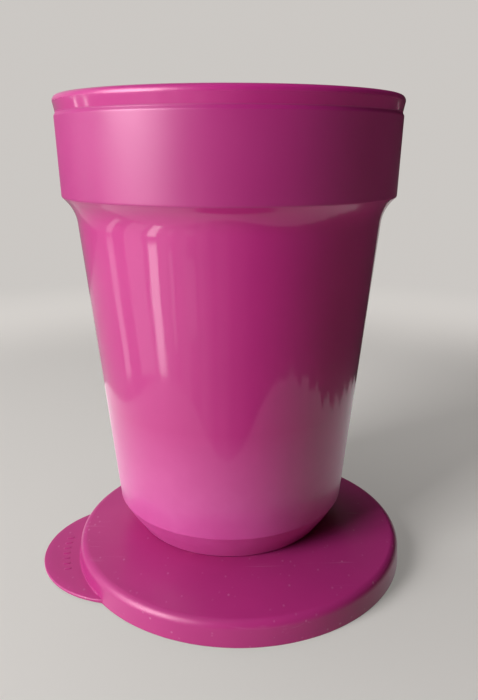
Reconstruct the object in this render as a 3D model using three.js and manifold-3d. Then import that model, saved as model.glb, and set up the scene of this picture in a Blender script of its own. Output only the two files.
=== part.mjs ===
// A half-litre plastic drinking tumbler standing on its own press-on lid.
// Millimetres, +Z up. The lid lies on the table with its skirt down, and the cup stands a little
// off its centre. The origin is the middle of the footprint of both, at table height.
import * as THREE from 'three';
import { mergeVertices } from 'three/addons/utils/BufferGeometryUtils.js';
import Module from 'manifold-3d';

const wasm = await Module();
wasm.setup();

// ---- driving dimensions of the cup, heights above its own foot ----
const RIM_RADIUS = 46.1;            // widest point, just under the rim's rounded edge
const CUP_HEIGHT = 121.9;
const RIM_OUTER_FILLET = 1.4;
const RIM_INNER_FILLET = 0.7;
const LIP_HEIGHT = 4.25;            // glossy lip, from the band's ledge to the rim
const LIP_BASE_RADIUS = 45.5;       // the lip leans outwards, so the lid snaps under the rim
const BAND_TOP_RADIUS = 45.89;
const BAND_BOTTOM_RADIUS = 45.3;
const BAND_TOP = 116.9;
const BAND_BOTTOM = 96.9;
const WALL_TOP_RADIUS = 41.88;      // where the wall's cone would meet the band's underside
const WALL_TOP = 93.3;
const CREASE_RADIUS = 33.73;        // sharp edge between the wall and the foot's bevel
const CREASE_HEIGHT = 8.9;
const BEVEL_RADIUS = 31.4;          // middle of the foot's bevel, which bulges a little
const BEVEL_HEIGHT = 4.9;
const FOOT_RADIUS = 27.9;
const WALL_THICKNESS = 2.0;
const RIM_THICKNESS = 2.2;
const FLOOR_THICKNESS = 2.2;
const FOOT_RING_WIDTH = 2.6;
const FOOT_RECESS = 1.2;            // the floor is raised, so the cup stands on a ring
const FOOT_FILLET = 1.6;
const BEVEL_FILLET = 20;
const COVE_FILLET = 10;             // hollow curve from the wall out to the band
const BAND_BOTTOM_FILLET = 0.8;
const BAND_TOP_FILLET = 1.2;       // the ledge over the band is a soft step
const LIP_BASE_FILLET = 1.0;
const INNER_FLOOR_FILLET = 1.5;
const INNER_CREASE_FILLET = 4;
const INNER_COVE_FILLET = 8;
const INNER_BAND_FILLET = 2;

// ---- driving dimensions of the lid, heights above the table ----
const LID_HEIGHT = 6.9;
const SKIRT_BOTTOM_RADIUS = 47.66;
const SKIRT_TOP_RADIUS = 47.22;
const LID_EDGE_RADIUS = 2.25;
const LID_PLATE = 1.5;
const SKIRT_INNER_RADIUS = 46.35;
const SKIRT_INNER_FILLET = 0.8;     // keeps the wall's thickness inside the rounded edge
const SNAP_BEAD_RADIUS = 45.7;      // 0.3 mm inside the cup's rim, so it snaps under it
const SNAP_BEAD_HEIGHT = 1.7;
const PLUG_RADIUS = 43.2;           // ring that goes inside the cup's mouth
const PLUG_THICKNESS = 1.3;
const PLUG_BOTTOM = 1.7;
const PLUG_LEAD = [0.4, 1.2];       // slope on the plug ring's mouth, in radius and in height
const SNAP_BEAD_FILLET = 0.5;
const SNAP_BEAD_RISE = [1.1, 0.9];  // the bead's slopes, below and above its tip

// ---- driving dimensions of the thumb tab, a disc that grows out of the skirt ----
const TAB_RADIUS = 25.65;
const TAB_CENTRE = 32.35;           // from the lid's axis
const TAB_DIRECTION = 190.0;        // degrees from +X, seen from above
const TAB_TOP = 1.44;
const TAB_THICKNESS = 1.2;
const HINGE_RADIUS = 48.45;         // the tab bends on a straight line just outside the skirt
const HINGE_GAP = 0.3;

// ---- placement ----
const CUP_OFFSET = [-2.6, 8.39];    // cup's axis from the lid's axis
const REST_GAP = 0.2;               // between the cup's foot and the lid
const TURN_SEGMENTS = 64;
const ARC_STEP = THREE.MathUtils.degToRad(15);
const TAB_ARC_STEPS = 16;

// A piece's turned outline. Each corner is [radius, height, fillet radius].
function turnedOutline(corners) {
  const points = [];
  corners.forEach(([r, z, fillet], i) => {
    const corner = new THREE.Vector2(r, z);
    if (!fillet) {
      points.push(corner);
      return;
    }
    const before = new THREE.Vector2(...corners[i - 1].slice(0, 2)).sub(corner).normalize();
    const after = new THREE.Vector2(...corners[i + 1].slice(0, 2)).sub(corner).normalize();
    const turn = Math.PI - Math.acos(before.dot(after));
    const toCentre = before.clone().add(after).normalize();
    const centre = corner.clone().addScaledVector(toCentre, fillet / Math.cos(turn / 2));
    const start = corner.clone().addScaledVector(before, fillet * Math.tan(turn / 2)).sub(centre);
    const side = Math.sign(before.cross(after));
    const steps = Math.max(2, Math.ceil(turn / ARC_STEP));
    for (let step = 0; step <= steps; step += 1) {
      const angle = -side * turn * step / steps;
      points.push(start.clone().rotateAround(new THREE.Vector2(), angle).add(centre));
    }
  });
  return points;
}

function turned(corners) {
  return new THREE.LatheGeometry(turnedOutline(corners), TURN_SEGMENTS).rotateX(Math.PI / 2);
}

function toSolid(geometry) {
  const bare = geometry.clone();
  bare.deleteAttribute('normal');
  bare.deleteAttribute('uv');
  const merged = mergeVertices(bare, 1e-4);
  const mesh = new wasm.Mesh({
    numProp: 3,
    vertProperties: new Float32Array(merged.attributes.position.array),
    triVerts: new Uint32Array(merged.index.array),
  });
  return new wasm.Manifold(mesh);
}

function toGeometry(solid) {
  const mesh = solid.getMesh();
  const geometry = new THREE.BufferGeometry();
  geometry.setAttribute('position', new THREE.BufferAttribute(mesh.vertProperties, mesh.numProp));
  geometry.setIndex(new THREE.BufferAttribute(mesh.triVerts, 1));
  geometry.computeVertexNormals();
  return geometry;
}

// ---- cup: one moulding with a lip, a wide band, a cove, a conical wall and a bevelled foot ----
function cupGeometry() {
  const lipLean = (RIM_RADIUS - LIP_BASE_RADIUS) / (LIP_HEIGHT - RIM_OUTER_FILLET);
  const rimCorner = LIP_BASE_RADIUS + lipLean * LIP_HEIGHT;
  const rimInside = rimCorner - RIM_THICKNESS;
  const footInside = FOOT_RADIUS - FOOT_RING_WIDTH;
  const floorTop = FOOT_RECESS + FLOOR_THICKNESS;
  const innerRise = 0.4 * WALL_THICKNESS;   // keeps the wall's thickness round each inner corner
  return turned([
    [0, FOOT_RECESS],
    [footInside - FOOT_RECESS, FOOT_RECESS],
    [footInside, 0],
    [FOOT_RADIUS, 0, FOOT_FILLET],
    [BEVEL_RADIUS, BEVEL_HEIGHT, BEVEL_FILLET],
    [CREASE_RADIUS, CREASE_HEIGHT],
    [WALL_TOP_RADIUS, WALL_TOP, COVE_FILLET],
    [BAND_BOTTOM_RADIUS, BAND_BOTTOM, BAND_BOTTOM_FILLET],
    [BAND_TOP_RADIUS, BAND_TOP, BAND_TOP_FILLET],
    [LIP_BASE_RADIUS, CUP_HEIGHT - LIP_HEIGHT, LIP_BASE_FILLET],
    [rimCorner, CUP_HEIGHT, RIM_OUTER_FILLET],
    [rimInside, CUP_HEIGHT, RIM_INNER_FILLET],
    [BAND_TOP_RADIUS - RIM_THICKNESS, BAND_TOP],
    [BAND_BOTTOM_RADIUS - WALL_THICKNESS, BAND_BOTTOM + innerRise, INNER_BAND_FILLET],
    [WALL_TOP_RADIUS - WALL_THICKNESS, WALL_TOP + innerRise, INNER_COVE_FILLET],
    [CREASE_RADIUS - WALL_THICKNESS, CREASE_HEIGHT + innerRise, INNER_CREASE_FILLET],
    [FOOT_RADIUS, floorTop, INNER_FLOOR_FILLET],
    [0, floorTop],
  ]);
}

// ---- lid: a flat plate with a skirt outside the cup's rim and a plug ring inside it ----
function lidGeometry() {
  const plateUnder = LID_HEIGHT - LID_PLATE;
  const skirt = [
    [0, plateUnder],
    [PLUG_RADIUS - PLUG_THICKNESS, plateUnder],
    [PLUG_RADIUS - PLUG_THICKNESS, PLUG_BOTTOM],
    [PLUG_RADIUS - PLUG_LEAD[0], PLUG_BOTTOM],
    [PLUG_RADIUS, PLUG_BOTTOM + PLUG_LEAD[1]],
    [PLUG_RADIUS, plateUnder],
    [SKIRT_INNER_RADIUS, plateUnder, SKIRT_INNER_FILLET],
    [SKIRT_INNER_RADIUS, SNAP_BEAD_HEIGHT + SNAP_BEAD_RISE[1]],
    [SNAP_BEAD_RADIUS, SNAP_BEAD_HEIGHT, SNAP_BEAD_FILLET],
    [SKIRT_INNER_RADIUS, SNAP_BEAD_HEIGHT - SNAP_BEAD_RISE[0]],
    [SKIRT_INNER_RADIUS, 0],
    [SKIRT_BOTTOM_RADIUS, 0],
    [SKIRT_TOP_RADIUS, LID_HEIGHT, LID_EDGE_RADIUS],
    [0, LID_HEIGHT],
  ];
  return toGeometry(toSolid(turned(skirt)).add(toSolid(tabPlate(tabRootShape()))));
}

// The tab's plate is drawn with the tab pointing along +X. Its root stays with the skirt and its
// flap bends on the hinge line.
function tabDiscAngle(x) {
  return Math.acos((x - TAB_CENTRE) / TAB_RADIUS);
}

function arc(centre, radius, from, to) {
  return Array.from({ length: TAB_ARC_STEPS + 1 }, (_, step) => {
    const angle = THREE.MathUtils.lerp(from, to, step / TAB_ARC_STEPS);
    return new THREE.Vector2(centre + radius * Math.cos(angle), radius * Math.sin(angle));
  });
}

function tabFlapShape() {
  const half = tabDiscAngle(HINGE_RADIUS + HINGE_GAP / 2);
  return new THREE.Shape(arc(TAB_CENTRE, TAB_RADIUS, -half, half));
}

function tabRootShape() {
  const sunk = (SKIRT_INNER_RADIUS + SKIRT_BOTTOM_RADIUS) / 2;   // ends inside the skirt's wall
  const meet = Math.acos((sunk ** 2 + TAB_CENTRE ** 2 - TAB_RADIUS ** 2) / (2 * sunk * TAB_CENTRE));
  const start = tabDiscAngle(sunk * Math.cos(meet));
  const end = tabDiscAngle(HINGE_RADIUS - HINGE_GAP / 2);
  return new THREE.Shape([
    ...arc(TAB_CENTRE, TAB_RADIUS, -start, -end),
    ...arc(TAB_CENTRE, TAB_RADIUS, end, start),
    ...arc(0, sunk, meet, -meet).slice(1, -1),
  ]);
}

function tabPlate(shape) {
  const plate = new THREE.ExtrudeGeometry(shape, { depth: TAB_THICKNESS, bevelEnabled: false });
  return plate.translate(0, 0, TAB_TOP - TAB_THICKNESS);
}

// ---- materials ----
const cupPlastic = new THREE.MeshStandardMaterial({ color: 0xb42878, roughness: 0.22 });
const lidPlastic = new THREE.MeshStandardMaterial({ color: 0xa32a6c, roughness: 0.45 });

// ---- assembly ----
function named(name, geometry, material) {
  const mesh = new THREE.Mesh(geometry, material);
  mesh.name = name;
  return mesh;
}

const lidAssembly = new THREE.Group();
lidAssembly.add(named('lid', lidGeometry(), lidPlastic));
lidAssembly.add(named('lid_tab', tabPlate(tabFlapShape()), lidPlastic));
lidAssembly.rotation.z = THREE.MathUtils.degToRad(TAB_DIRECTION);

const cup = named('tumbler_cup', cupGeometry(), cupPlastic);
cup.position.set(...CUP_OFFSET, LID_HEIGHT + REST_GAP);

// The footprint runs from the tab's edge to the skirt and from the skirt to the cup's rim.
const tabAngle = THREE.MathUtils.degToRad(TAB_DIRECTION);
const footprintLeft = TAB_CENTRE * Math.cos(tabAngle) - TAB_RADIUS;
const footprintRight = SKIRT_BOTTOM_RADIUS;
const footprintFront = -SKIRT_BOTTOM_RADIUS;
const footprintBack = CUP_OFFSET[1] + RIM_RADIUS;

const tumbler = new THREE.Group();
tumbler.add(lidAssembly, cup);
tumbler.position.set(-(footprintLeft + footprintRight) / 2, -(footprintFront + footprintBack) / 2, 0);

export default tumbler;
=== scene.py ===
"""A plastic drinking tumbler standing on its own press-on lid: the finished surfaces round the
fixed frame. The frame's coordinates, in metres, +Z up, with the table at height 0."""
import math

import bmesh
import bpy
from mathutils import Matrix, Vector


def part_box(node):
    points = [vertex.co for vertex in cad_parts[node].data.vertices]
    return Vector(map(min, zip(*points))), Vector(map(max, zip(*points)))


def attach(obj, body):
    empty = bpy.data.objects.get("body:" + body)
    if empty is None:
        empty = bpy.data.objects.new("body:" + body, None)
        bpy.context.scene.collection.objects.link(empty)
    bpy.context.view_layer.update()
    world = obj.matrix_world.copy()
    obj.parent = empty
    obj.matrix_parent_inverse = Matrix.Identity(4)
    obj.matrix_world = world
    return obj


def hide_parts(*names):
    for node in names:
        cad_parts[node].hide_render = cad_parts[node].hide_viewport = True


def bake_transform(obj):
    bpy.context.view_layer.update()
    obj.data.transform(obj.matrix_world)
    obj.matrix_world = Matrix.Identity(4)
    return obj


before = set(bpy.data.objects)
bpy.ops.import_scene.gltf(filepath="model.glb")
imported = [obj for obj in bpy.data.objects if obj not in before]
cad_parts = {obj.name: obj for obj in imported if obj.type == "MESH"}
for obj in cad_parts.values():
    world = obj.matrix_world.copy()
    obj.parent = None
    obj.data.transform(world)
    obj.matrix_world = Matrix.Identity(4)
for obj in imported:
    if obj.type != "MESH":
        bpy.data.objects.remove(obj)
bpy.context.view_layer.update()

MM = 0.001
TURN_STEPS = 288                     # facets round a turned piece
ARC_STEP = math.radians(6)           # facets along a fillet
GUARD = 0.25                         # loops this close to a fillet keep the flat beside it flat
SHARP_EDGE = math.radians(32)
SOFTENED = 0.2                       # fillet of an edge that is only broken


# ---- where the frame puts the pieces ----
def centre_of(node):
    low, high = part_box(node)
    return (low + high) / 2


CUP_LOW, CUP_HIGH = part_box("tumbler_cup")
LID_LOW, LID_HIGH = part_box("lid")
CUP_AXIS = Vector((*centre_of("tumbler_cup").xy, CUP_LOW.z))

# ---- cup's profile, in millimetres from its axis and above its foot, as the frame has it ----
CUP_HEIGHT = (CUP_HIGH.z - CUP_LOW.z) / MM
REST_GAP = (CUP_LOW.z - LID_HIGH.z) / MM      # the frame's clearance, which the real foot closes
RIM_RADIUS = (CUP_HIGH.x - CUP_LOW.x) / 2 / MM
RIM_OUTER_FILLET = 1.4
RIM_INNER_FILLET = 0.7
RIM_THICKNESS = 2.2
LIP_HEIGHT = 4.25
LIP_BASE_RADIUS = 45.5
BAND_TOP_RADIUS = 45.89
BAND_BOTTOM_RADIUS = 45.3
BAND_TOP = 116.9
BAND_BOTTOM = 96.9
WALL_TOP_RADIUS = 41.88
WALL_TOP = 93.3
CREASE_RADIUS = 33.73
CREASE_HEIGHT = 8.9
BEVEL_RADIUS = 31.4
BEVEL_HEIGHT = 4.9
FOOT_RADIUS = 27.9
FOOT_RING_WIDTH = 2.6
FOOT_RECESS = 1.2
FLOOR_THICKNESS = 2.2
WALL_THICKNESS = 2.0
BEVEL_FILLET = 20
FOOT_FILLET = 1.6
CREASE_FILLET = 0.5
COVE_FILLET = 10
BAND_BOTTOM_FILLET = 0.8
BAND_TOP_FILLET = 0.9
LIP_BASE_FILLET = 0.2
INNER_BAND_TOP_FILLET = 4
INNER_BAND_FILLET = 2
INNER_COVE_FILLET = 8
INNER_CREASE_FILLET = 4
INNER_FLOOR_FILLET = 1.5
FOOT_SINK = 0.95                     # the part of the frame's clearance that the foot closes

# ---- lid's profile, from its axis and above the table ----
LID_HEIGHT = LID_HIGH.z / MM
SKIRT_BOTTOM_RADIUS = 47.66
SKIRT_TOP_RADIUS = 47.22
SKIRT_INNER_RADIUS = 46.35
LID_EDGE_RADIUS = 2.25
LID_PLATE = 1.5
SNAP_BEAD_RADIUS = 45.7
SNAP_BEAD_HEIGHT = 1.7
PLUG_RADIUS = 43.2
PLUG_THICKNESS = 1.3
PLUG_BOTTOM = 1.7
PLUG_LEAD = (0.4, 1.2)               # slope on the plug ring's mouth, in radius and in height
SNAP_BEAD_RISE = (1.1, 0.9)          # the bead's slopes, below and above its tip
SNAP_BEAD_FILLET = 0.5
SKIRT_INNER_FILLET = 0.8
PLUG_LEAD_FILLET = 0.8
PLUG_TIP_FILLET = 0.3
LID_AXIS = Vector((LID_HIGH.x - SKIRT_BOTTOM_RADIUS * MM, (LID_LOW.y + LID_HIGH.y) / 2, 0))

# ---- thumb tab: a disc that grows out of the skirt ----
TAB_RADIUS = 25.65
TAB_CENTRE = 32.35
TAB_DIRECTION = math.radians(190.0)
TAB_THICKNESS = 1.2
TAB_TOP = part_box("lid_tab")[1].z / MM


# ---- turned pieces ----
def rounded_outline(corners):
    """Points of a profile from its corners, each (radius, height, fillet radius)."""
    points = []
    for i, (radius, height, fillet) in enumerate(corners):
        corner = Vector((radius, height))
        if not fillet:
            points.append(corner)
            continue
        before = (Vector(corners[i - 1][:2]) - corner).normalized()
        after = (Vector(corners[i + 1][:2]) - corner).normalized()
        turn = math.pi - before.angle(after)
        centre = corner + (before + after).normalized() * fillet / math.cos(turn / 2)
        start = corner + before * fillet * math.tan(turn / 2) - centre
        side = math.copysign(1, before.cross(after))
        steps = max(3, math.ceil(turn / ARC_STEP))
        for step in range(steps + 1):
            points.append(centre + Matrix.Rotation(-side * turn * step / steps, 2) @ start)
    return points


def guarded(points):
    """The profile with a loop close to each end of every long straight stretch."""
    result = [points[0]]
    for last, point in zip(points, points[1:]):
        along = point - last
        if along.length > 6 * GUARD:
            step = along.normalized() * GUARD
            result += [last + step, point - step]
        result.append(point)
    return result


def turned_piece(name, corners, axis, finish_of, materials):
    """A closed surface of revolution. The object's origin is on its axis, at the foot."""
    outline = guarded(rounded_outline(corners))
    shape = bmesh.new()
    rings = []
    for radius, height in outline:
        if radius < 1e-6:
            rings.append([shape.verts.new((0, 0, height * MM))])
            continue
        angles = [math.tau * step / TURN_STEPS for step in range(TURN_STEPS)]
        rings.append([
            shape.verts.new((radius * MM * math.cos(a), radius * MM * math.sin(a), height * MM))
            for a in angles])
    for (start, lower), (end, upper) in zip(zip(outline, rings), zip(outline[1:], rings[1:])):
        finish = finish_of((start + end) / 2, end.y - start.y)
        for step in range(TURN_STEPS):
            after = (step + 1) % TURN_STEPS
            corners_of_face = [lower[step % len(lower)], lower[after % len(lower)],
                               upper[after % len(upper)], upper[step % len(upper)]]
            face = shape.faces.new(dict.fromkeys(corners_of_face))
            face.material_index = finish
    return finished_object(name, shape, materials, axis)


def finished_object(name, shape, materials, origin=Vector()):
    mesh = bpy.data.meshes.new(name)
    shape.to_mesh(mesh)
    shape.free()
    for material in materials:
        mesh.materials.append(material)
    mesh.shade_smooth()
    mesh.set_sharp_from_angle(angle=SHARP_EDGE)
    piece = bpy.data.objects.new(name, mesh)
    piece.location = origin
    bpy.context.scene.collection.objects.link(piece)
    return piece


def gate_corners(radius, drop, fillet, face):
    """The moulding's gate: a small pip that hangs from a flat face at a height."""
    return [(0, face - drop, 0), (radius, face - drop, fillet), (radius * 1.2, face, 0.15)]


def cup_corners():
    lip_lean = (RIM_RADIUS - LIP_BASE_RADIUS) / (LIP_HEIGHT - RIM_OUTER_FILLET)
    rim_corner = LIP_BASE_RADIUS + lip_lean * LIP_HEIGHT
    foot_inside = FOOT_RADIUS - FOOT_RING_WIDTH
    foot = -FOOT_SINK * REST_GAP
    floor_top = FOOT_RECESS + FLOOR_THICKNESS
    inner_rise = 0.4 * WALL_THICKNESS
    return [
        *gate_corners(1.6, 0.35, 0.3, FOOT_RECESS),
        (foot_inside - FOOT_RECESS, FOOT_RECESS, 0.6),
        (foot_inside, foot, 0.4),
        (FOOT_RADIUS, foot, FOOT_FILLET),
        (BEVEL_RADIUS, BEVEL_HEIGHT, BEVEL_FILLET),
        (CREASE_RADIUS, CREASE_HEIGHT, CREASE_FILLET),
        (WALL_TOP_RADIUS, WALL_TOP, COVE_FILLET),
        (BAND_BOTTOM_RADIUS, BAND_BOTTOM, BAND_BOTTOM_FILLET),
        (BAND_TOP_RADIUS, BAND_TOP, BAND_TOP_FILLET),
        (LIP_BASE_RADIUS, CUP_HEIGHT - LIP_HEIGHT, LIP_BASE_FILLET),
        (rim_corner, CUP_HEIGHT, RIM_OUTER_FILLET),
        (rim_corner - RIM_THICKNESS, CUP_HEIGHT, RIM_INNER_FILLET),
        (BAND_TOP_RADIUS - RIM_THICKNESS, BAND_TOP, INNER_BAND_TOP_FILLET),
        (BAND_BOTTOM_RADIUS - WALL_THICKNESS, BAND_BOTTOM + inner_rise, INNER_BAND_FILLET),
        (WALL_TOP_RADIUS - WALL_THICKNESS, WALL_TOP + inner_rise, INNER_COVE_FILLET),
        (CREASE_RADIUS - WALL_THICKNESS, CREASE_HEIGHT + inner_rise, INNER_CREASE_FILLET),
        (FOOT_RADIUS, floor_top, INNER_FLOOR_FILLET),
        (0, floor_top, 0),
    ]


def lid_corners():
    under = LID_HEIGHT - LID_PLATE
    plug_inside = PLUG_RADIUS - PLUG_THICKNESS
    return [
        *gate_corners(1.4, 0.3, 0.25, under),
        (plug_inside, under, 0.6),
        (plug_inside, PLUG_BOTTOM, PLUG_TIP_FILLET),
        (PLUG_RADIUS - PLUG_LEAD[0], PLUG_BOTTOM, PLUG_TIP_FILLET),
        (PLUG_RADIUS, PLUG_BOTTOM + PLUG_LEAD[1], PLUG_LEAD_FILLET),
        (PLUG_RADIUS, under, 0.5),
        (SKIRT_INNER_RADIUS, under, SKIRT_INNER_FILLET),
        (SKIRT_INNER_RADIUS, SNAP_BEAD_HEIGHT + SNAP_BEAD_RISE[1], SOFTENED),
        (SNAP_BEAD_RADIUS, SNAP_BEAD_HEIGHT, SNAP_BEAD_FILLET),
        (SKIRT_INNER_RADIUS, SNAP_BEAD_HEIGHT - SNAP_BEAD_RISE[0], SOFTENED),
        (SKIRT_INNER_RADIUS, 0, SOFTENED),
        (SKIRT_BOTTOM_RADIUS, 0, 0.3),
        (SKIRT_TOP_RADIUS, LID_HEIGHT, LID_EDGE_RADIUS),
        (0, LID_HEIGHT, 0),
    ]


# ---- thumb tab ----
# The plate is laid out round the disc's own centre. Its rows run from the disc's edge inwards to
# an arc that lies inside the skirt's wall, and u points from the lid's axis along the tab.
TAB_EDGE_RADIUS = 0.4
TAB_MARGIN = 2.3                     # the top face rolls off over this width
TAB_ROLL_OFF = 0.14
TAB_ROOT_FILLET = 0.35
FILLET_ROWS_WIDTH = 1.2              # rows are close together over this much of the root
TAB_ARC_STEPS = 150
TAB_CORNER_CUT = math.radians(0.6)   # the plate stops this short of a knife-sharp corner


def disc_to_root(angle, radius):
    """Distance from the disc's centre, at an angle, to a circle about the lid's axis."""
    across = TAB_CENTRE * math.sin(angle)
    return math.sqrt(radius ** 2 - across ** 2) - TAB_CENTRE * math.cos(angle)


def tab_section():
    """The edge's section, from the top face's start of roll-off round to the underside, as
    (distance in from the disc's edge, height)."""
    bottom = TAB_TOP - TAB_THICKNESS
    edge_top = TAB_TOP - TAB_ROLL_OFF
    section = []
    roll_steps = 8
    for step in range(roll_steps):
        part = step / roll_steps
        width = TAB_MARGIN + (TAB_EDGE_RADIUS - TAB_MARGIN) * part
        section.append((width, TAB_TOP - TAB_ROLL_OFF * part ** 2))
    arc_steps = 8
    for centre, start in ((edge_top - TAB_EDGE_RADIUS, 90), (bottom + TAB_EDGE_RADIUS, 0)):
        for step in range(arc_steps + 1):
            angle = math.radians(start - 90 * step / arc_steps)
            section.append((TAB_EDGE_RADIUS * (1 - math.cos(angle)),
                            centre + TAB_EDGE_RADIUS * math.sin(angle)))
    return section


def root_rise(distance):
    """The fillet's height above the plate at a distance outside the skirt."""
    if distance >= TAB_ROOT_FILLET:
        return 0
    inwards = TAB_ROOT_FILLET - max(distance, 0)
    return TAB_ROOT_FILLET - math.sqrt(TAB_ROOT_FILLET ** 2 - inwards ** 2)


def tab_rows(angle, sunk):
    """One line of points across the plate, as (distance from the disc's centre, height)."""
    inner = disc_to_root(angle, sunk)
    room = TAB_RADIUS - inner
    squeeze = min(1, 0.75 * room / TAB_MARGIN)
    section = [(TAB_RADIUS - inset * squeeze, height) for inset, height in tab_section()]
    plain = section[0][0] - inner
    root_steps, plain_steps = 8, 17
    near = min(FILLET_ROWS_WIDTH, plain / 2)
    distances = [near * step / root_steps for step in range(root_steps)]
    distances += [near + (plain - near) * step / plain_steps for step in range(plain_steps)]
    flat = [inner + distance for distance in distances]
    top = [(distance, TAB_TOP) for distance in flat]
    bottom = [(distance, TAB_TOP - TAB_THICKNESS) for distance in reversed(flat)]
    return top + section + bottom


def on_tab(disc_distance, angle, height):
    """A point of the plate in the frame's own directions, from the lid's axis, in metres."""
    along = TAB_CENTRE + disc_distance * math.cos(angle)
    across = disc_distance * math.sin(angle)
    beyond_skirt = math.hypot(along, across) - SKIRT_BOTTOM_RADIUS
    if height == TAB_TOP:
        height += root_rise(beyond_skirt)
    place = Vector((along, across, height)) * MM
    return Matrix.Rotation(TAB_DIRECTION, 3, "Z") @ place


def grip_bars(shape):
    """Small raised bars near the tip, which a thumb finds by feel."""
    count, pitch, length, width, rise = 7, 2.7, 2.1, 0.7, 0.17
    middle = 51.7
    for number in range(count):
        across = (number - (count - 1) / 2) * pitch
        along = middle - 0.012 * across ** 2
        ends = 10
        outline = []
        for side in (1, -1):
            for step in range(ends + 1):
                turn = math.radians(-90 + 180 * step / ends)
                outline.append((along + side * ((length - width) / 2 + width / 2 * math.cos(turn)),
                                across + side * width / 2 * math.sin(turn)))
        levels = ((1.0, -0.15), (1.0, rise * 0.35), (0.86, rise * 0.8), (0.6, rise))
        rings = []
        for grow, height in levels:
            ring = []
            for x, y in outline:
                place = Vector((along + (x - along) * (1 - (1 - grow) * width / length),
                                across + (y - across) * grow, TAB_TOP + height)) * MM
                ring.append(shape.verts.new(
                    Matrix.Rotation(TAB_DIRECTION, 3, "Z") @ place + LID_AXIS))
            rings.append(ring)
        close_rings(shape, rings)
        shape.faces.new(rings[0][::-1])
        shape.faces.new(rings[-1])


def close_rings(shape, rings):
    for lower, upper in zip(rings, rings[1:]):
        for i in range(len(lower)):
            j = (i + 1) % len(lower)
            shape.faces.new((lower[i], lower[j], upper[j], upper[i]))


def thumb_tab(material):
    sunk = (SKIRT_INNER_RADIUS + SKIRT_BOTTOM_RADIUS) / 2
    corner = math.acos((sunk ** 2 - TAB_CENTRE ** 2 - TAB_RADIUS ** 2)
                       / (2 * TAB_CENTRE * TAB_RADIUS))
    reach = corner - TAB_CORNER_CUT
    shape = bmesh.new()
    lines = []
    for step in range(TAB_ARC_STEPS + 1):
        angle = reach * (2 * step / TAB_ARC_STEPS - 1)
        rows = tab_rows(angle, sunk)
        lines.append([shape.verts.new(on_tab(distance, angle, height) + LID_AXIS)
                      for distance, height in rows])
    close_rings(shape, lines)
    shape.faces.new(lines[0][::-1])
    shape.faces.new(lines[-1])
    grip_bars(shape)
    bmesh.ops.recalc_face_normals(shape, faces=shape.faces)
    return finished_object("thumb_tab", shape, [material])


# ---- materials ----
class Shader:
    """A Principled material and a short way to add nodes to it."""

    def __init__(self, name, colour, roughness, specular=0.5):
        self.material = bpy.data.materials.new(name)
        self.material.use_nodes = True
        self.nodes = self.material.node_tree.nodes
        self.links = self.material.node_tree.links
        self.principled = self.nodes["Principled BSDF"]
        self.principled.inputs["Base Color"].default_value = (*colour, 1)
        self.principled.inputs["Roughness"].default_value = roughness
        self.principled.inputs["IOR"].default_value = 1.5
        self.principled.inputs["Specular IOR Level"].default_value = specular
        self.place = self.add("ShaderNodeTexCoord").outputs["Object"]

    def add(self, kind, inputs=None, **settings):
        node = self.nodes.new(kind)
        for name, value in settings.items():
            setattr(node, name, value)
        for name, value in (inputs or {}).items():
            if isinstance(value, bpy.types.NodeSocket):
                self.links.new(value, node.inputs[name])
            else:
                node.inputs[name].default_value = value
        return node

    def noise(self, scale, detail=2.0, stretch=(1, 1, 1), distortion=0.0):
        place = self.add("ShaderNodeMapping", {"Vector": self.place, "Scale": stretch})
        return self.add("ShaderNodeTexNoise", {
            "Vector": place.outputs["Vector"], "Scale": scale, "Detail": detail,
            "Distortion": distortion}).outputs["Fac"]

    def spread(self, value, low, high, to_low, to_high):
        """value from low..high to to_low..to_high, held at both ends."""
        return self.add("ShaderNodeMapRange", {
            "Value": value, "From Min": low, "From Max": high, "To Min": to_low,
            "To Max": to_high}).outputs["Result"]

    def math(self, operation, first, second=0.0):
        return self.add("ShaderNodeMath", {0: first, 1: second}, operation=operation).outputs[0]

    def mix_colour(self, amount, first, second):
        node = self.add("ShaderNodeMix", {"Factor": amount}, data_type="RGBA")
        for socket, value in ((node.inputs[6], first), (node.inputs[7], second)):
            if isinstance(value, bpy.types.NodeSocket):
                self.links.new(value, socket)
            else:
                socket.default_value = (*value, 1)
        return node.outputs[2]

    def bump(self, height, distance, strength=1.0, normal=None):
        inputs = {"Height": height, "Distance": distance, "Strength": strength}
        if normal:
            inputs["Normal"] = normal
        return self.add("ShaderNodeBump", inputs).outputs["Normal"]

    def set(self, name, value):
        self.links.new(value, self.principled.inputs[name])


MAGENTA = (0.41, 0.018, 0.197)
MAGENTA_DEEP = (0.38, 0.015, 0.181)
POLISHED_MAGENTA = (0.48, 0.017, 0.22)
POLISHED_MAGENTA_DEEP = (0.45, 0.014, 0.205)
# Painted light: a lighter magenta for the lower wall and bevel, standing in for the light they
# catch; it also stands for the worn plastic there.
WORN_AND_PAINTED_LIGHT_MAGENTA = (0.56, 0.072, 0.33)
LID_MAGENTA = (0.45, 0.029, 0.21)
LID_MAGENTA_DEEP = (0.41, 0.024, 0.19)
PALE_MARK = (0.72, 0.45, 0.6)
WEAR_AND_PAINTED_LIGHT_HEIGHTS = (0.016, 0.040)        # above the cup's foot: fully worn and painted lighter at the first, clean at the second
CREST_HEIGHTS = (0.1195, 0.1207)     # the rim is rubbed dull above these


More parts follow.
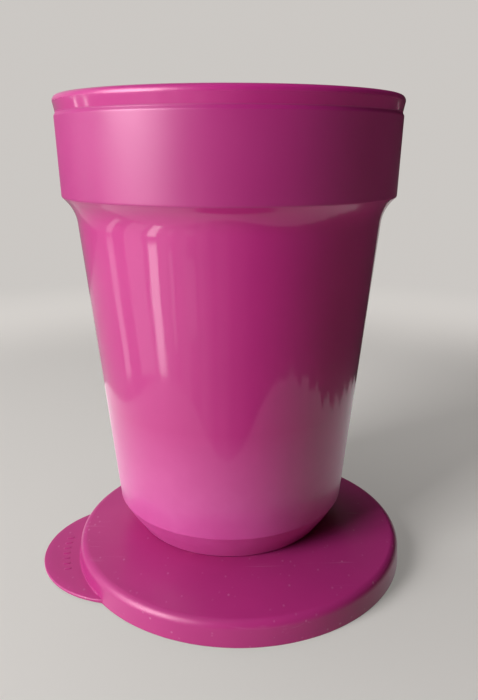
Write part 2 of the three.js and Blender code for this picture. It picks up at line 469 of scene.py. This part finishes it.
def gloss_plastic():
    """Polished polypropylene: a sharp surface over a hazier body, faint flow waves, smudges and
    the fine rings of a turned mould. It is dulled by wear towards the foot, where its colour is
    also painted lighter to stand in for the light that reaches the lower wall and the bevel."""
    shader = Shader("gloss_plastic", POLISHED_MAGENTA, 0.42)
    height = shader.add("ShaderNodeSeparateXYZ", {"Vector": shader.place}).outputs["Z"]
    wear_and_painted_light = shader.spread(height, *WEAR_AND_PAINTED_LIGHT_HEIGHTS, 1, 0)
    patches = shader.spread(shader.noise(160, 4), 0.35, 0.65, 0.86, 1)
    wear_and_painted_light = shader.math("MULTIPLY", wear_and_painted_light, patches)
    drift = shader.noise(22, 2)
    clean = shader.mix_colour(shader.spread(drift, 0.35, 0.65, 0, 1),
                              POLISHED_MAGENTA_DEEP, POLISHED_MAGENTA)
    # Painted light and wear: towards the foot the base colour is painted lighter for the light
    # there, and the same mask dulls the coat as real wear.
    shader.set("Base Color", shader.mix_colour(wear_and_painted_light, clean, WORN_AND_PAINTED_LIGHT_MAGENTA))
    shader.set("Specular IOR Level", shader.spread(wear_and_painted_light, 0, 1, 0.3, 0.85))
    shader.set("Coat Weight", shader.spread(wear_and_painted_light, 0, 1, 0.85, 0.12))
    shader.principled.inputs["Coat IOR"].default_value = 1.5
    smudge = shader.spread(shader.noise(70, 4, distortion=0.6), 0.45, 0.7, 0.07, 0.14)
    hairline = shader.spread(shader.noise(900, 2, stretch=(1, 1, 0.04)), 0.66, 0.75, 0, 0.05)
    rubbed = shader.spread(height, *CREST_HEIGHTS, 0, 0.24)
    haze = shader.math("ADD", smudge, hairline)
    shader.set("Coat Roughness", shader.math("ADD", haze, rubbed))
    wave = shader.bump(shader.noise(38, 1), 0.0016, 0.2)
    rings = shader.noise(1400, 1, stretch=(0.02, 0.02, 1))
    surface = shader.bump(rings, 0.0000012, 1, wave)
    shader.set("Coat Normal", surface)
    shader.set("Normal", surface)
    return shader.material


def satin_plastic():
    """The band's fine spark-eroded texture, with a few rubbed places."""
    shader = Shader("satin_plastic", MAGENTA, 0.4, specular=0.66)
    drift = shader.noise(26, 2)
    shader.set("Base Color", shader.mix_colour(shader.spread(drift, 0.35, 0.65, 0, 1),
                                               MAGENTA_DEEP, MAGENTA))
    rubbed = shader.spread(shader.noise(60, 5, distortion=0.4), 0.4, 0.7, 0.43, 0.36)
    shader.set("Roughness", rubbed)
    grain = shader.bump(shader.noise(4200, 2), 0.00002, 0.35)
    shader.set("Normal", shader.bump(shader.noise(300, 2), 0.00003, 0.3, grain))
    return shader.material


def scuffed_satin():
    """The lid's softer plastic: satin, with specks, short hairline scratches and rubbed places."""
    shader = Shader("scuffed_satin", LID_MAGENTA, 0.36)
    drift = shader.noise(30, 3)
    body = shader.mix_colour(shader.spread(drift, 0.35, 0.65, 0, 1), LID_MAGENTA_DEEP, LID_MAGENTA)
    bent = shader.add("ShaderNodeMapping", {"Vector": shader.place, "Scale": (1, 0.62, 1),
                                            "Rotation": (0, 0, 0.7)})
    cells = shader.add("ShaderNodeTexVoronoi", {"Vector": bent.outputs["Vector"], "Scale": 560,
                                                "Randomness": 1.0})
    near = shader.spread(cells.outputs["Distance"], 0.03, 0.22, 1, 0)
    chosen = shader.add("ShaderNodeSeparateColor", {"Color": cells.outputs["Color"]})
    sparse = shader.spread(chosen.outputs[0], 0.6, 1.0, 0, 1)
    speck = shader.math("MULTIPLY", near, sparse)
    streak = shader.noise(520, 3, stretch=(0.08, 1, 1), distortion=0.8)
    scratch = shader.spread(streak, 0.65, 0.72, 0, 1)
    patch = shader.spread(shader.noise(55, 2), 0.48, 0.6, 0, 1)
    scratch = shader.math("MULTIPLY", scratch, patch)
    mark = shader.math("MAXIMUM", speck, shader.math("MULTIPLY", scratch, 0.4))
    shader.set("Base Color", shader.mix_colour(shader.math("MULTIPLY", mark, 0.4), body,
                                               PALE_MARK))
    rubbed = shader.spread(shader.noise(65, 5, distortion=0.5), 0.38, 0.68, 0.4, 0.33)
    shader.set("Roughness", shader.math("ADD", rubbed, shader.math("MULTIPLY", mark, 0.15)))
    grain = shader.bump(shader.noise(2600, 2), 0.00002, 0.3)
    shader.set("Normal", shader.bump(mark, 0.00002, 0.8, grain))
    return shader.material


# ---- the finished pieces ----
GLOSS, SATIN = 0, 1


def cup_finish(point, rising):
    outside = rising > 0 and point.x > WALL_TOP_RADIUS
    in_band = BAND_BOTTOM - 0.4 < point.y < CUP_HEIGHT - LIP_HEIGHT + 0.2
    return SATIN if outside and in_band else GLOSS


def lid_finish(point, rising):
    return 0


def make_pieces():
    gloss, satin, scuffed = gloss_plastic(), satin_plastic(), scuffed_satin()
    cup = turned_piece("cup_moulding", cup_corners(), CUP_AXIS, cup_finish, [gloss, satin])
    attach(cup, "cup")
    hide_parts("tumbler_cup")

    lid = turned_piece("lid_moulding", lid_corners(), LID_AXIS, lid_finish, [scuffed])
    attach(lid, "lid")
    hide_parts("lid")

    tab = thumb_tab(scuffed)
    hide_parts("lid_tab")
    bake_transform(tab)


# ---- table, backdrop, light and camera ----
PALE = (0.60, 0.575, 0.55)
WHITE = (1.0, 0.98, 0.96)
ROOM_COLOUR = (1.0, 0.8, 0.62)
FLOOR_RADIUS = 3.0
FLOOR_FADE = (0.2, 0.45)             # the table turns into the backdrop's even tone over this


def staged(piece, seen_by):
    """Says which rays see a piece of the studio."""
    for ray in ("camera", "diffuse", "glossy", "transmission", "shadow"):
        setattr(piece, "visible_" + ray, ray in seen_by)
    return piece


def glowing(name, colour, strength):
    material = bpy.data.materials.new(name)
    material.use_nodes = True
    nodes, links = material.node_tree.nodes, material.node_tree.links
    nodes.clear()
    glow = nodes.new("ShaderNodeEmission")
    glow.inputs["Color"].default_value = (*colour, 1)
    glow.inputs["Strength"].default_value = strength
    output = nodes.new("ShaderNodeOutputMaterial")
    links.new(glow.outputs[0], output.inputs["Surface"])
    return material


def table_material(name, cloth_colour, glow_share, glow_strength):
    material = bpy.data.materials.new(name)
    material.use_nodes = True
    nodes, links = material.node_tree.nodes, material.node_tree.links
    nodes.clear()
    place = nodes.new("ShaderNodeTexCoord")
    length = nodes.new("ShaderNodeVectorMath")
    length.operation = "LENGTH"
    links.new(place.outputs["Object"], length.inputs[0])
    fade = nodes.new("ShaderNodeMapRange")
    fade.interpolation_type = "SMOOTHSTEP"
    fade.inputs["From Min"].default_value, fade.inputs["From Max"].default_value = FLOOR_FADE
    fade.inputs["To Min"].default_value = glow_share
    links.new(length.outputs["Value"], fade.inputs["Value"])
    cloth = nodes.new("ShaderNodeBsdfDiffuse")
    cloth.inputs["Color"].default_value = (*cloth_colour, 1)
    glow = nodes.new("ShaderNodeEmission")
    glow.inputs["Color"].default_value = (*PALE, 1)
    glow.inputs["Strength"].default_value = glow_strength
    mix = nodes.new("ShaderNodeMixShader")
    output = nodes.new("ShaderNodeOutputMaterial")
    links.new(fade.outputs["Result"], mix.inputs["Fac"])
    links.new(cloth.outputs[0], mix.inputs[1])
    links.new(glow.outputs[0], mix.inputs[2])
    links.new(mix.outputs[0], output.inputs["Surface"])
    return material


def bearing(azimuth, elevation=0.0):
    """Unit vector from the object: azimuth 0 is towards the camera, 90 is to its left."""
    azimuth, elevation = math.radians(azimuth), math.radians(elevation)
    return Vector((-math.sin(azimuth) * math.cos(elevation),
                   -math.cos(azimuth) * math.cos(elevation), math.sin(elevation)))


AIM = Vector((0, 0, 0.06))


def soft_light(name, azimuth, elevation, distance, size, power, colour, seen_by):
    data = bpy.data.lights.new(name, "AREA")
    data.shape = "RECTANGLE"
    data.size, data.size_y = size
    data.energy = power
    data.color = colour
    light = bpy.data.objects.new(name, data)
    away = bearing(azimuth, elevation)
    light.location = AIM + away * distance
    light.rotation_euler = away.to_track_quat("Z", "Y").to_euler()
    for ray in ("camera", "diffuse", "glossy"):
        setattr(light, "visible_" + ray, ray in seen_by)
    bpy.context.scene.collection.objects.link(light)
    return light


def card(name, azimuth, distance, width, low, high, colour, strength, seen_by):
    """An upright panel that faces the tumbler's axis."""
    shape = bmesh.new()
    half = width / 2
    away = bearing(azimuth)
    across = Vector((-away.y, away.x, 0))
    middle = CUP_AXIS.xy.to_3d() + away * distance
    corners = [middle + across * x + Vector((0, 0, z))
               for x, z in ((-half, low), (half, low), (half, high), (-half, high))]
    shape.faces.new([shape.verts.new(c) for c in corners])
    piece = finished_object(name, shape, [glowing(name + "_glow", colour, strength)])
    return staged(piece, seen_by)


def make_stage():
    for name, colour, glow_share, glow_strength, seen_by in (
            ("table", WHITE, 0.33, 1.0, ("camera", "transmission")),
            ("table_in_gloss", (0.8, 0.78, 0.76), 0.25, 0.85, ("glossy",)),
            ("table_bounce", (0.56, 0.46, 0.36), 0.0, 1.0, ("diffuse",))):
        shape = bmesh.new()
        bmesh.ops.create_circle(shape, cap_ends=True, segments=96, radius=FLOOR_RADIUS)
        cloth = table_material(name + "_cloth", colour, glow_share, glow_strength)
        staged(finished_object(name, shape, [cloth]), seen_by)
    shape = bmesh.new()
    bmesh.ops.create_uvsphere(shape, u_segments=64, v_segments=32, radius=FLOOR_RADIUS)
    staged(finished_object("backdrop", shape, [glowing("backdrop_glow", PALE, 1.0)]), ("camera",))
    world = bpy.data.worlds.new("room")
    world.use_nodes = True
    background = world.node_tree.nodes["Background"]
    background.inputs["Color"].default_value = (*ROOM_COLOUR, 1)
    background.inputs["Strength"].default_value = 0.02
    bpy.context.scene.world = world


def ragged(azimuth):
    """How far the cloth's edge on the table strays outwards, like rumpled fabric: a deep dip in
    front, shallow ones at the sides, and a fringe on the right."""
    turned = azimuth - 2
    dip = 1 + math.cos(math.radians(3.9 * turned))
    edge = 0.032 - dip * (0.032 if abs(turned) < 46 else 0.013)
    if azimuth < -40:
        edge += 0.006 * math.sin(0.5 * azimuth) + 0.004 * math.sin(1.3 * azimuth)
    return edge


def towards_window(azimuth):
    """0 on the dark right, 1 on the window's side."""
    part = min(1, max(0, (azimuth + 24) / 66))
    return part * part * (3 - 2 * part)


def room_tone(azimuth):
    ripple = 0.16 * math.sin(0.45 * azimuth) + 0.08 * math.sin(1.1 * azimuth)
    return 0.02 + towards_window(azimuth) * (0.85 + ripple)


def cloth_tone(azimuth):
    return 0.52 + 0.6 * towards_window(azimuth)


CLOTH_NEAR = 0.052                   # these are distances from the tumbler's axis
CLOTH_EDGE = 0.12
ROOM_END = 2.5
PANE_DISTANCE = 0.155


def gloss_patch(name, azimuths, near_of, far_of, tone_of, lift):
    """A glowing sector on the table round the tumbler's axis, which only gloss reflects."""
    shape = bmesh.new()
    tone = shape.verts.layers.float.new("tone")
    rings = []
    for azimuth in range(azimuths[0], azimuths[1] + 1):
        ring = [shape.verts.new(CUP_AXIS.xy.to_3d() + bearing(azimuth) * distance
                                + Vector((0, 0, lift)))
                for distance in (near_of(azimuth), far_of(azimuth))]
        for corner in ring:
            corner[tone] = tone_of(azimuth)
        rings.append(ring)
    for ring, following in zip(rings, rings[1:]):
        shape.faces.new((ring[0], ring[1], following[1], following[0]))
    material = glowing(name + "_glow", WHITE, 1.0)
    nodes, links = material.node_tree.nodes, material.node_tree.links
    strength = nodes.new("ShaderNodeAttribute")
    strength.attribute_name = "tone"
    links.new(strength.outputs["Fac"], nodes["Emission"].inputs["Strength"])
    staged(finished_object(name, shape, [material]), ("glossy",))


def make_reflections():
    """What the polished plastic shows of the table: the cloth near it and the room beyond."""
    def edge(azimuth):
        return CLOTH_EDGE + ragged(azimuth)

    gloss_patch("near_cloth", (-180, 180), lambda azimuth: CLOTH_NEAR, edge, cloth_tone, 0.0003)
    gloss_patch("dim_room", (-150, 58), edge, lambda azimuth: ROOM_END, room_tone, 0.0004)
    for name, azimuth, distance, width, low, high, strength in (
            ("pane_low", 50.5, PANE_DISTANCE, 0.017, 0.0, 0.06, 5.5),
            ("pane_wide", 64.5, PANE_DISTANCE, 0.038, 0.0, 0.065, 1.5),
            ("pane_narrow", 86, PANE_DISTANCE, 0.017, 0.0, 0.065, 2.0),
            ("pane_faint", 38, PANE_DISTANCE, 0.006, 0.012, 0.055, 1.6),
            ("pane_broad", 25, PANE_DISTANCE, 0.018, 0.016, 0.05, 1.1),
            ("pane_lip_left", 98, 0.187, 0.008, 0.085, 0.15, 4.2),
            ("pane_lip_right", 88, 0.19, 0.009, 0.085, 0.15, 4.4)):
        card(name, azimuth, distance, width, low, high, WHITE, strength, ("glossy",))


def make_lights():
    for name, azimuth, elevation, distance, size, power, seen_by in (
            ("window", 60, 20, 0.9, (0.6, 0.6), 11.5, "glossy"),
            ("window_side", 52, 19, 0.9, (0.4, 0.55), 9.8, "diffuse"),
            ("window_haze", 70, 30, 1.0, (1.3, 0.9), 1.5, "glossy"),
            ("ceiling", 112, 72, 1.0, (0.9, 0.9), 4.8, "diffuse")):
        soft_light(name, azimuth, elevation, distance, size, power, WHITE, (seen_by,))
    for name, low, high, strength in (("cloth_behind", 0.16, 0.5, 1.0),
                                      ("cloth_foot", 0.0, 0.16, 0.4)):
        card(name, 148, 0.36, 0.6, low, high, PALE, strength, ("diffuse", "glossy"))


CAMERA_PLACE = Vector((0.002576, -0.1944, 0.11614))    # from the table, under the tumbler's axis
CAMERA_DIP = math.radians(16.43)
CAMERA_LENS = 35.2                   # mm, for a sensor whose long side is 36 mm
SENSOR_LONG_SIDE = 36.0


def make_camera():
    data = bpy.data.cameras.new("camera")
    data.sensor_width = SENSOR_LONG_SIDE
    data.lens = CAMERA_LENS
    data.clip_start = 0.01
    camera = bpy.data.objects.new("camera", data)
    camera.location = CUP_AXIS.xy.to_3d() + CAMERA_PLACE
    camera.rotation_euler = (math.radians(90) - CAMERA_DIP, 0, 0)
    bpy.context.scene.collection.objects.link(camera)
    bpy.context.scene.camera = camera


bpy.context.scene.view_settings.view_transform = "Standard"
make_camera()
make_stage()
make_lights()
make_reflections()
make_pieces()
